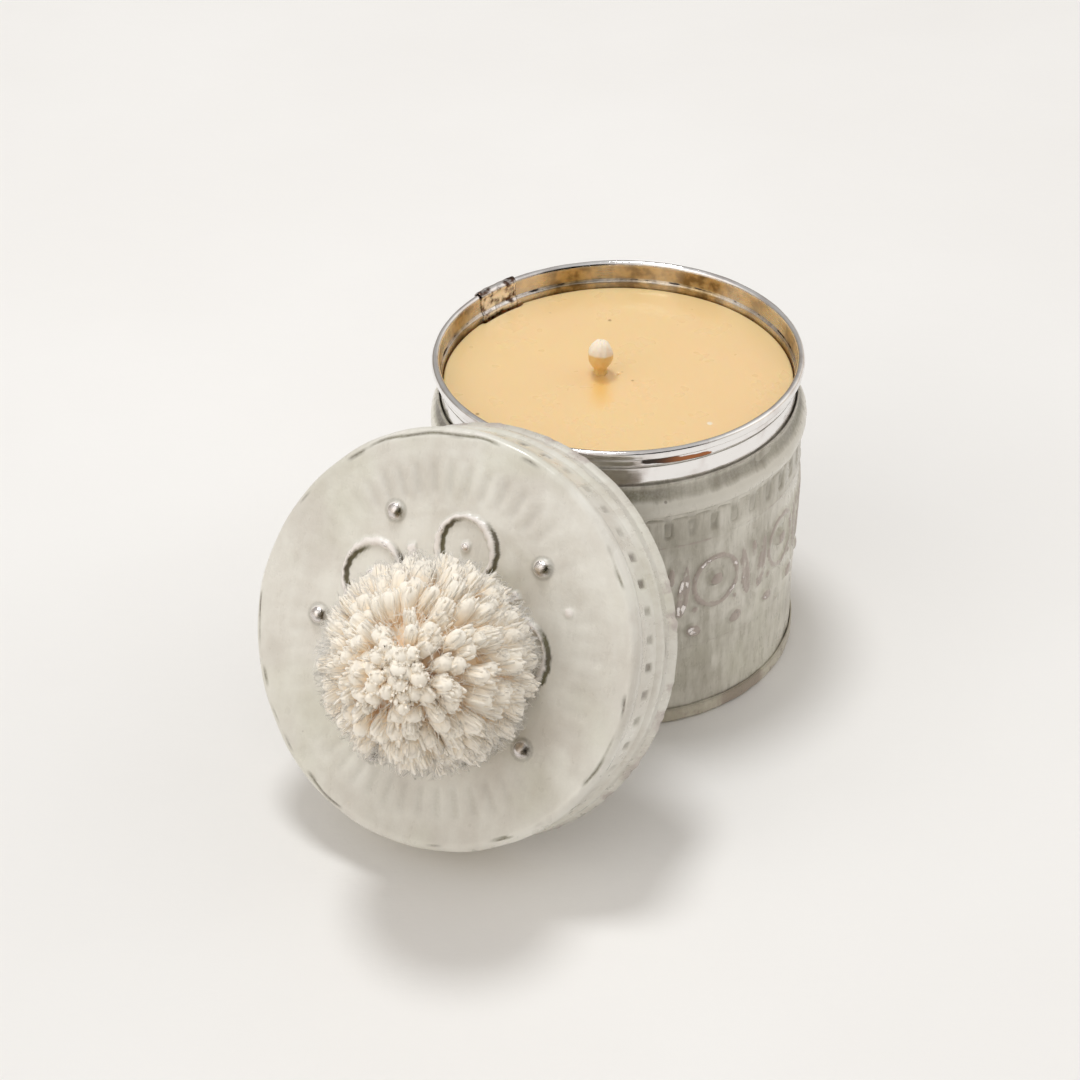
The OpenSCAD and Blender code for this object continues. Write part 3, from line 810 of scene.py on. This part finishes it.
def press_petals(relief, x, y):
    """C-shaped petals of uneven width, dark along their edges as painted reflection and shade, each with a seed
    in it and a stem.
    """
    for degrees, ring_r, petal_r in PETALS:
        a = math.radians(degrees)
        dx, dy = x - ring_r * math.cos(a), y - ring_r * math.sin(a)
        out, aside = turned(dx, dy, degrees)
        bearing = np.arctan2(aside, out)
        reach = smooth(2.5, 2.1, np.abs(bearing))
        ragged = 0.22 * np.sin(2.1 * bearing + degrees) + 0.05 * np.sin(15.7 * bearing + 2 * degrees)
        half = 0.68 + 0.20 * np.sin(2.3 * bearing + 3 * degrees) + 0.06 * np.sin(19 * bearing + degrees)
        far = np.hypot(dx, dy)
        distance = far - petal_r + ragged
        crest = np.sqrt(ridge(distance, half, 1)) * reach
        rightward = dx / np.maximum(far, 0.1)
        # painted reflection and shade: dark along the slopes of each petal that face right
        inner_edge = ridge(distance + half, 0.42, 1.6) * smooth(0.1, 0.8, -rightward)
        outer_edge = ridge(distance - half, 0.42, 1.6) * smooth(0.3, 0.9, rightward)
        press(relief, height=ridge(distance, half, 0.7) * reach,
              wear=(0.72 + 0.10 * np.sin(4.1 * bearing + degrees)) * crest,
              grime=(inner_edge + outer_edge) * reach)
        seed = np.hypot(dx - 0.4 * math.cos(a), dy - 0.4 * math.sin(a))
        press(relief, height=dome(seed, 0, 0.95, 0.6), wear=smooth(0.9, 0.5, seed))
        stroke, beside = turned(x, y, degrees + 36)
        stem = smooth(1.0, 0.6, np.abs(beside + 0.08 * (stroke - 14) ** 2)) * plateau(stroke - 14, 1.6, 0.8)
        press(relief, height=0.45 * stem, wear=0.7 * stem)


def lid_face_relief(x, y, angle, r):
    """Embossing on the lid's face: its height, its wear, and its painted shade and reflections."""
    relief = {field: np.zeros_like(x) for field in ("height", "wear", "grime")}
    press_bosses(relief, x, y)
    press_petals(relief, x, y)
    for degrees, bump_r in BUMPS:
        a = math.radians(degrees)
        far = np.hypot(x - bump_r * math.cos(a), y - bump_r * math.sin(a))
        relief["height"] += 0.25 * smooth(1.1, 0.2, far)
        press(relief, wear=0.62 * smooth(1.3, 0.3, far))
    flutes = np.cos(FLUTES * angle + 0.8 * np.sin(3 * angle)) * plateau(r - 25.8, 1.5, 1.9)
    gain = 0.2 + 0.8 * smooth(-0.2, 0.8, np.cos(2 * angle - 3.3))
    relief["height"] += 0.12 * flutes * gain + 0.10 * plateau(r - 25.2, 4.2, 1.5)
    # painted shade: darker in the troughs of the flutes, and darker towards the side of the face where y - 0.4
    # x is low
    relief["grime"] += 0.14 * np.clip(-flutes, 0, 1) * gain + 0.10 * smooth(8, -30, y - 0.4 * x)
    return relief["height"], relief["wear"], relief["grime"]


def lid_top_relief(angle, r, z):
    """The face's embossing, on a disc that isn't quite flat, and the chipped line along its edge."""
    x, y = r * np.cos(angle), r * np.sin(angle)
    height, wear, grime = lid_face_relief(x, y, angle, r)
    on_face = smooth(LID_R - LID_CORNER_R, LID_R - LID_CORNER_R - 0.6, r)
    corner = plateau(np.hypot(r - LID_R + 0.4, z + 0.4), 0.3, 0.8)
    along = (np.degrees(angle) + 180) % 360 - 180
    flaked = smooth(-0.1, 1.2, waves(angle, r, 51, (3, 7, 12, 19, 33), 1.0))
    flaked = np.maximum(flaked, plateau(along - 110, 10, 8))
    crack = ridge(r - LID_R + 1.0 + waves(angle, 0 * z, 54, (5, 11, 23), 0.2), 0.28, 1)
    crack = crack * smooth(-1.0, -0.5, z) * flaked
    uneven = waves(angle, r, 52, (2, 3, 5), 0.14) + waves(angle, r * 3, 53, (7, 13, 22), 0.05)
    uneven *= smooth(3, 12, r)
    fields = {"wear": wear * on_face + 0.34 * corner * flaked, "grime": grime * on_face + crack,
              "grain": np.stack([x * 0.35, y * 0.10, z * 0.3], -1)}
    return height * on_face - 0.15 * crack + uneven, fields


def make_lid_top():
    """Embossed disc, whose edge is turned down over the skirt."""
    outer = np.concatenate([
        line((LID_R, -LID_FLANGE_H), (LID_R, -LID_CORNER_R), 0.3),
        arc(LID_R - LID_CORNER_R, -LID_CORNER_R, LID_CORNER_R, 0, 90, 10)[:-1],
        line((LID_R - LID_CORNER_R, 0), (24.0, 0), 0.42),
        line((24.0, 0), (6.0, 0), 0.3),
        line((6.0, 0), (LID_HOLE_R, 0), 0.7), [[LID_HOLE_R, 0]]])
    paint = paint_material("lid_paint", *LID_PAINT, streaks=0.3)
    skin = thicken(outer, SHEET_T, 3)
    top = revolve("lid_top_embossed", paint, skin, LID_STEPS, lid_top_relief, place=LID_PLACE)
    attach(top, "lid")
    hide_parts("lid_top")


def skirt_relief(angle, r, z):
    """Row of small dents, a bead, and a hem with flaking paint."""
    outside = smooth(SKIRT_R - 0.3, SKIRT_R - 0.1, r)
    across = repeat(angle, DENTS, 0, SKIRT_R)
    even = 0.8 + waves(angle, 0 * z, 65, (4, 9, 15), 0.35)
    dent = plateau(across, 0.40, 0.55) * plateau(z - SKIRT_DENT_Z, 0.7, 0.9) * outside * even
    hem = smooth(SKIRT_FLARE_Z + 0.2, SKIRT_FLARE_Z - 0.5, z)
    flaked = smooth(-0.1, 0.9, waves(angle, 0 * z, 61, (3, 8, 14, 27, 40), 1.0))
    uneven = waves(angle, z, 62, (2, 4, 7), 0.07) + waves(angle, z * 2, 63, (18, 31, 45), 0.03)
    ragged = waves(angle, z * 3, 64, (53, 71, 96), 0.13) * hem * flaked
    edge = smooth(1.2 - LID_H, 0.2 - LID_H, z)
    chipped = (0.3 + 0.6 * flaked) * hem * (0.5 + 0.5 * edge) * smooth(31.5, 33, r)
    # painted shade: the dents are painted darker
    fields = {"wear": 0.45 * dent + chipped, "grime": 0.65 * dent,
              "grain": upright_grain(angle, z, across=18, along=0.2)}
    return uneven * outside - 0.32 * dent + ragged, fields


def make_lid_skirt():
    """Strip around the lid, rolled into a hem at its open edge."""
    hem_r = (LID_EDGE_R - LID_HEM_IN_R) / 2
    hem_x, hem_z = LID_EDGE_R - hem_r, -LID_H + hem_r
    top_z = -SHEET_T - LID_CORNER_R - FIT_GAP
    t = np.radians(np.linspace(-90, 90, 15))
    bead = np.stack([SKIRT_R + SKIRT_BEAD_H * np.cos(t) ** 2, SKIRT_BEAD_Z + SKIRT_BEAD_HALF * np.sin(t)], 1)
    outline = np.concatenate([
        arc(hem_x, hem_z, hem_r, 120, 345, 26), arc(SKIRT_R + 1.1, -13.9, 0.9, 205, 150, 4),
        bead, line((SKIRT_R, -9.0), (SKIRT_R, top_z), 0.3), [[SKIRT_R, top_z], [SKIRT_R - SHEET_T, top_z]],
        line((SKIRT_R - SHEET_T, top_z - 0.4), (SKIRT_R - SHEET_T, -14.4), 1.0)])
    paint = paint_material("skirt_paint", *SKIRT_PAINT, streaks=0.4)
    skirt = revolve("lid_skirt_dented", paint, outline, LID_STEPS, skirt_relief, place=LID_PLACE)
    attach(skirt, "lid")
    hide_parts("lid_skirt")


# ------------ the pom-pom
def ball_directions(count):
    """Evenly spread directions over a sphere."""
    i = np.arange(count) + 0.5
    up = 1 - 2 * i / count
    turn = i * math.pi * (3 - math.sqrt(5))
    flat = np.sqrt(1 - up * up)
    return np.stack([flat * np.cos(turn), flat * np.sin(turn), up], 1)


def unit(v):
    return v / np.linalg.norm(v, axis=-1, keepdims=True)


def lift_off_face(points, least, blend=1.5):
    """Yarn that would go into the lid lies on it instead, from the least height above its face upwards."""
    z = points[..., 2:]
    points[..., 2:] = np.where(z < least + blend, least + blend * np.exp((z - least - blend) / blend), z)
    return points


def tuft_paths(rng):
    """Middle line of every tuft: it rises inside the ball, bends outwards and ends at the ball's surface."""
    ways = ball_directions(TUFTS)
    ways[-CENTRE_TUFTS:] = rng.normal(0, 0.28, (CENTRE_TUFTS, 3)) + [0, 0, 1]
    ways = unit(ways + rng.normal(0, 0.06, (TUFTS, 3)))
    ends = ways * (POMPOM_R * rng.uniform(0.88, 0.985, (TUFTS, 1)))
    bends = 0.55 * ends + [0, 0, 5.0] + rng.normal(0, 0.7, (TUFTS, 3))
    starts = 0.2 * ends + [0, 0, 2.0]
    t = TUFT_T[:, None]
    return (1 - t) ** 2 * starts[:, None] + 2 * t * (1 - t) * bends[:, None] + t * t * ends[:, None]


def strand_paths(rng, paths, fat):
    """Strands of yarn around the core of each tuft, which twist a little and end almost together."""
    along = unit(paths[:, -1] - paths[:, 0])
    side = unit(np.cross(along, [0.2, 0.5, 0.8]))
    other = np.cross(along, side)
    start = np.arange(STRANDS) * math.tau / STRANDS + rng.uniform(0, 0.5, (TUFTS, STRANDS))
    turn = start[..., None] + 0.5 * TUFT_T
    offset = np.cos(turn)[..., None] * side[:, None, None] + np.sin(turn)[..., None] * other[:, None, None]
    spread = rng.uniform(0.45, 1.1, (TUFTS, STRANDS, 1)) * STRAND_SPREAD
    strands = paths[:, None] + offset * (fat[:, None] * spread)[..., None]
    strands += along[:, None, None] * rng.normal(-0.3, 0.45, (TUFTS, STRANDS, 1, 1)) * TUFT_T[:, None]
    return strands.reshape(-1, len(TUFT_T), 3)


def heart_ball():
    """Packed middle of the pom-pom, which closes the gaps between the tufts."""
    z = np.linspace(-0.99, 0.99, 14)[None]
    return tubes(z[..., None] * [0, 0, HEART_R], HEART_R * np.sqrt(1 - z * z), 24)


def make_pompom():
    """Ball of tufts around a packed middle, its loose fibres and its tie."""
    rng = np.random.default_rng(12)
    paths = tuft_paths(rng)
    fat = rng.uniform(0.95, 1.4, (TUFTS, 1))
    strands = strand_paths(rng, paths, fat)
    strand_r = np.array(STRAND_R) * rng.uniform(0.7, 1.2, (TUFTS * STRANDS, 1))
    tone = rng.uniform(0, 1, TUFTS)
    heart = heart_ball()
    cores = tubes(paths, fat * CORE_R, CORE_SIDES)
    points, faces = join([cores, tubes(strands, strand_r, STRAND_SIDES), heart])
    in_heart = np.ones(len(heart[0]))
    # depth sets painted shade: low down each tuft, and on the packed middle, the wool is painted warmer and
    # darker
    depth = np.concatenate([np.tile(np.repeat(TUFT_T, CORE_SIDES), TUFTS),
                            np.tile(np.repeat(TUFT_T, STRAND_SIDES), TUFTS * STRANDS), 0.6 * in_heart])
    shade = np.concatenate([np.repeat(tone, len(TUFT_T) * CORE_SIDES),
                            np.repeat(tone, len(TUFT_T) * STRAND_SIDES * STRANDS), 0.5 * in_heart])
    points = lift_off_face(points + POMPOM_CENTRE, 0.35)
    wool = wool_material()
    ball = make_object("pompom_yarn", wool, points, faces, {"depth": depth, "shade": shade}, LID_PLACE)
    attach(ball, "lid")
    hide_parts("pompom")
    make_fuzz(wool, rng)
    make_tie(wool)


def make_fuzz(wool, rng):
    """Loose fibres, which stand out of the ball and are shaded like its surface."""
    ways = unit(rng.normal(0, 1, (FIBRES, 3)))
    start = ways * (POMPOM_R * rng.uniform(0.74, 0.95, (FIBRES, 1)))
    lean = unit(ways + rng.normal(0, 0.6, (FIBRES, 3)))
    curl = rng.normal(0, 0.6, (FIBRES, 3))
    t = np.linspace(0, 1, FIBRE_RINGS)
    reach = rng.uniform(1.0, 3.0, (FIBRES, 1))
    paths = start[:, None] + (lean * reach)[:, None] * t[:, None] + curl[:, None] * (t * t)[:, None]
    far = np.linalg.norm(paths, axis=2, keepdims=True)
    limit = POMPOM_R * 1.02
    paths *= np.where(far > limit, limit / far, 1)
    paths = lift_off_face(paths + POMPOM_CENTRE, 0.3)
    radii = np.broadcast_to(0.06 - 0.04 * t, (FIBRES, FIBRE_RINGS))
    points, faces = tubes(paths, radii, STRAND_SIDES)
    depth = np.ones(len(points))
    fields = {"depth": depth, "shade": depth * 0.8}
    fuzz = make_object("pompom_fuzz", wool, points, faces, fields, LID_PLACE)
    normals = np.repeat(ways, FIBRE_RINGS * STRAND_SIDES, axis=0) @ np.array(lid_turn.to_3x3()).T
    fuzz.data.normals_split_custom_set_from_vertices(normals.tolist())
    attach(fuzz, "lid")


def make_tie(wool):
    """Twisted yarn through the lid, wound around the pom-pom's middle and knotted under the face."""
    strands, rings, twists, strand_r = 3, 60, 9, 0.45
    t = np.linspace(0, 1, rings)
    turn = t * twists * math.tau + np.arange(strands)[:, None] * math.tau / strands
    z = np.broadcast_to(-SHEET_T - 2.0 + t * 11.5, turn.shape)
    stem = np.stack([0.42 * np.cos(turn), 0.42 * np.sin(turn), z], -1)
    windings = ((-SHEET_T - 2.25, 1.25, 0.4), (-SHEET_T - 2.6, 1.15, -0.7), (9.0, 1.3, 0.5), (9.3, 1.2, -0.5))
    rows = []
    for k, (z, r, tilt) in enumerate(windings):
        a = np.linspace(0, 2.2 * math.tau, rings) + k
        rows.append(np.stack([r * np.cos(a), r * np.sin(a), z + 0.8 * tilt * np.cos(a * 0.5 + k)], 1))
    points, faces = join([tubes(stem, np.full(turn.shape, strand_r), 6),
                          tubes(np.array(rows), np.full((len(rows), rings), 0.72), 6)])
    fields = {"depth": np.full(len(points), 0.85), "shade": np.full(len(points), 0.4)}
    tie = make_object("pompom_tie_yarn", wool, points, faces, fields, LID_PLACE)
    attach(tie, "lid")
    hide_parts("pompom_tie")


def dress_cad_nodes():
    """The tab and the sticker keep their CAD shapes."""
    for node, material in (("wick_tab", steel_material()), ("wick_sticker", foam_material())):
        mesh = frame["nodes"][node].data
        mesh.materials.clear()
        mesh.materials.append(material)


# ------------ floor, light and camera
def make_floor():
    """Wide board, a hair below the pot's base, so that the two don't share a plane."""
    half = 4000.0
    steps = 24
    along = np.linspace(-half, half, steps)
    x, y = np.meshgrid(along, along)
    points = np.stack([x.ravel(), y.ravel(), np.full(x.size, -0.02)], 1)
    floor = make_object("floor", floor_material(), points, grid_faces(steps, steps, False, False).tolist())


# Parts of the room: direction, the cosines of the angle at which each begins and is full, and its brightness
ROOM = (((0.4, -0.9, 0.1), 0.4, 0.85, 0.75),
        ((0.45, -0.88, 0.15), 0.88, 0.93, 0.02),         # dark doorway for the metal to mirror
        ((-0.8, -0.55, 0.22), 0.5, 0.95, 2.1),
        ((1.0, 0.3, 0.1), 0.4, 0.95, 2.4),
        ((-0.35, -0.75, 0.45), 0.5, 0.95, 1.75),
        ((0.8, -0.45, 0.45), 0.5, 0.95, 1.25))


def make_world():
    """A pale room, brighter and less warm overhead than at the horizon."""
    world = bpy.data.worlds.new("studio")
    bpy.context.scene.world = world
    s = Shade(world, "Background", "Generated")
    up = s.along((0, 0, 1))
    strength = s.step(up, 0.0, 0.9, 0.30, 0.50)
    for direction, low, high, factor in ROOM:
        strength = s.times(strength, s.step(s.along(direction), low, high, 1.0, factor))
    s.assign(Strength=strength, Color=s.mix(s.step(up, 0.0, 0.7), (1.0, 0.90, 0.78), (1.0, 0.985, 0.965)))


def make_light(name, place, aim, size, power, colour):
    """Soft round lamp."""
    data = bpy.data.lights.new(name, "AREA")
    data.shape = "DISK"
    data.size = size
    data.energy = power
    data.color = colour
    light = bpy.data.objects.new(name, data)
    light.location = place
    light.rotation_mode = "QUATERNION"
    light.rotation_quaternion = (Vector(aim) - Vector(place)).to_track_quat("-Z", "Y")
    bpy.context.scene.collection.objects.link(light)


def make_camera():
    """Camera at the photograph's angle, which is 38 degrees above the table."""
    place = Vector((0.0, -0.339155, 0.263135))
    forward = Vector((-0.03394494, 0.80934693, -0.58634911)).normalized()
    up = Vector((0.00123826, 0.58672083, 0.80978833))
    right = forward.cross(up).normalized()
    up = right.cross(forward)
    data = bpy.data.cameras.new("camera")
    data.lens = 76.67
    data.sensor_width = 36.0
    data.clip_start = 0.01
    data.clip_end = 20
    camera = bpy.data.objects.new("camera", data)
    camera.matrix_world = Matrix.Translation(place) @ Matrix((right, up, -forward)).transposed().to_4x4()
    bpy.context.scene.collection.objects.link(camera)
    bpy.context.scene.camera = camera


make_camera()
make_world()
make_light("overhead_window", (-0.12, 0.12, 0.95), (0, 0, 0.02), 0.24, 3.5, (0.97, 0.985, 1.0))
make_floor()
make_body()
make_base_pan()
make_collar()
make_wax()
make_wick()
make_lid_top()
make_lid_skirt()
make_pompom()
dress_cad_nodes()
bpy.context.scene.view_settings.view_transform = "Standard"
bpy.context.scene.cycles.diffuse_bounces = 24
